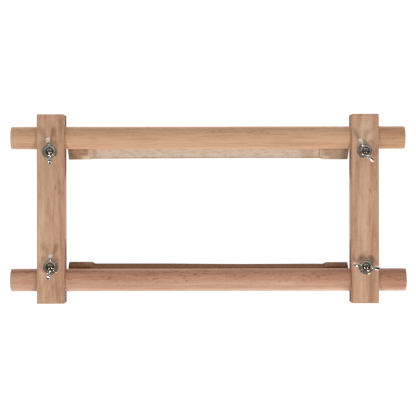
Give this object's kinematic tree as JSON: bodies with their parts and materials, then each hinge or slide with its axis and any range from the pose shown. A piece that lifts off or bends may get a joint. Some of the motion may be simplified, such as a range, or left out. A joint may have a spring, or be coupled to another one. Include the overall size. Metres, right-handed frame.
{
  "type": "rotating tapestry frame",
  "caption": "Hand-held needlework frame: split wooden side arms clamp dowel rollers with wing nuts, and a webbing tape stapled along each roller holds the canvas.",
  "frame": {"origin": "middle of the frame, on the plane of the arms' flat back faces that it lies on", "axes": "+X along the rollers to the right, +Y across the frame to the top roller, +Z out of the front, where the wing nuts are"},
  "size_m": [0.4804, 0.2286, 0.0566],
  "materials": {
    "beech_arm": "sanded bare beech, pinkish tan, straight grain with fine flecks",
    "beech_roller": "sanded bare beech dowel, grain along its length",
    "cotton_tape": "undyed cotton webbing, close herringbone weave",
    "zinc_steel": "bright zinc plate, lightly rubbed",
    "staple_wire": "flat galvanised staple wire"
  },
  "bodies": {
    "left_arm": {"left_side_arm": "beech_arm", "top_left_coach_bolt": "zinc_steel", "bottom_left_coach_bolt": "zinc_steel"},
    "right_arm": {"right_side_arm": "beech_arm", "top_right_coach_bolt": "zinc_steel", "bottom_right_coach_bolt": "zinc_steel"},
    "top_roller": {"top_roller": "beech_roller", "top_tape": "cotton_tape", "top_staple_1": "staple_wire", "top_staple_2": "staple_wire", "top_staple_3": "staple_wire", "top_staple_4": "staple_wire", "top_staple_5": "staple_wire", "top_staple_6": "staple_wire", "top_staple_7": "staple_wire", "top_staple_8": "staple_wire", "top_staple_9": "staple_wire"},
    "bottom_roller": {"bottom_roller": "beech_roller", "bottom_tape": "cotton_tape", "bottom_staple_1": "staple_wire", "bottom_staple_2": "staple_wire", "bottom_staple_3": "staple_wire", "bottom_staple_4": "staple_wire", "bottom_staple_5": "staple_wire", "bottom_staple_6": "staple_wire", "bottom_staple_7": "staple_wire", "bottom_staple_8": "staple_wire", "bottom_staple_9": "staple_wire"},
    "top_left_washer": {"top_left_washer": "zinc_steel"},
    "top_left_wing_nut": {"top_left_wing_nut": "zinc_steel"},
    "bottom_left_washer": {"bottom_left_washer": "zinc_steel"},
    "bottom_left_wing_nut": {"bottom_left_wing_nut": "zinc_steel"},
    "top_right_washer": {"top_right_washer": "zinc_steel"},
    "top_right_wing_nut": {"top_right_wing_nut": "zinc_steel"},
    "bottom_right_washer": {"bottom_right_washer": "zinc_steel"},
    "bottom_right_wing_nut": {"bottom_right_wing_nut": "zinc_steel"}
  },
  "joints": [
    {"name": "top_roller_turn", "type": "hinge", "parent": "left_arm", "child": "top_roller", "pos_m": [-0.19, 0.0864, 0.019], "axis": [1, 0, 0], "continuous": true},
    {"name": "bottom_roller_turn", "type": "hinge", "parent": "left_arm", "child": "bottom_roller", "pos_m": [-0.19, -0.0864, 0.019], "axis": [1, 0, 0], "continuous": true},
    {"name": "right_arm_slide", "type": "slide", "parent": "left_arm", "child": "right_arm", "axis": [1, 0, 0], "range_m": [-0.001, 0.03]},
    {"name": "top_left_washer_lift", "type": "slide", "parent": "left_arm", "child": "top_left_washer", "axis": [0, 0, 1], "range_m": [0, 0.003]},
    {"name": "top_left_wing_nut_turn", "type": "hinge", "parent": "top_left_washer", "child": "top_left_wing_nut", "pos_m": [-0.19, 0.0692, 0.04], "axis": [0, 0, 1], "range_deg": [0, 1080]},
    {"name": "bottom_left_washer_lift", "type": "slide", "parent": "left_arm", "child": "bottom_left_washer", "axis": [0, 0, 1], "range_m": [0, 0.003]},
    {"name": "bottom_left_wing_nut_turn", "type": "hinge", "parent": "bottom_left_washer", "child": "bottom_left_wing_nut", "pos_m": [-0.19, -0.0692, 0.04], "axis": [0, 0, 1], "range_deg": [0, 1080]},
    {"name": "top_right_washer_lift", "type": "slide", "parent": "right_arm", "child": "top_right_washer", "axis": [0, 0, 1], "range_m": [0, 0.003]},
    {"name": "top_right_wing_nut_turn", "type": "hinge", "parent": "top_right_washer", "child": "top_right_wing_nut", "pos_m": [0.19, 0.0692, 0.04], "axis": [0, 0, 1], "range_deg": [0, 1080]},
    {"name": "bottom_right_washer_lift", "type": "slide", "parent": "right_arm", "child": "bottom_right_washer", "axis": [0, 0, 1], "range_m": [0, 0.003]},
    {"name": "bottom_right_wing_nut_turn", "type": "hinge", "parent": "bottom_right_washer", "child": "bottom_right_wing_nut", "pos_m": [0.19, -0.0692, 0.04], "axis": [0, 0, 1], "range_deg": [0, 1080]}
  ],
  "couplings": [
    {"joint": "top_left_wing_nut_turn", "follows": "top_left_washer_lift", "rad_per_m": 6283.2},
    {"joint": "bottom_left_wing_nut_turn", "follows": "bottom_left_washer_lift", "rad_per_m": 6283.2},
    {"joint": "top_right_wing_nut_turn", "follows": "top_right_washer_lift", "rad_per_m": 6283.2},
    {"joint": "bottom_right_wing_nut_turn", "follows": "bottom_right_washer_lift", "rad_per_m": 6283.2}
  ]
}
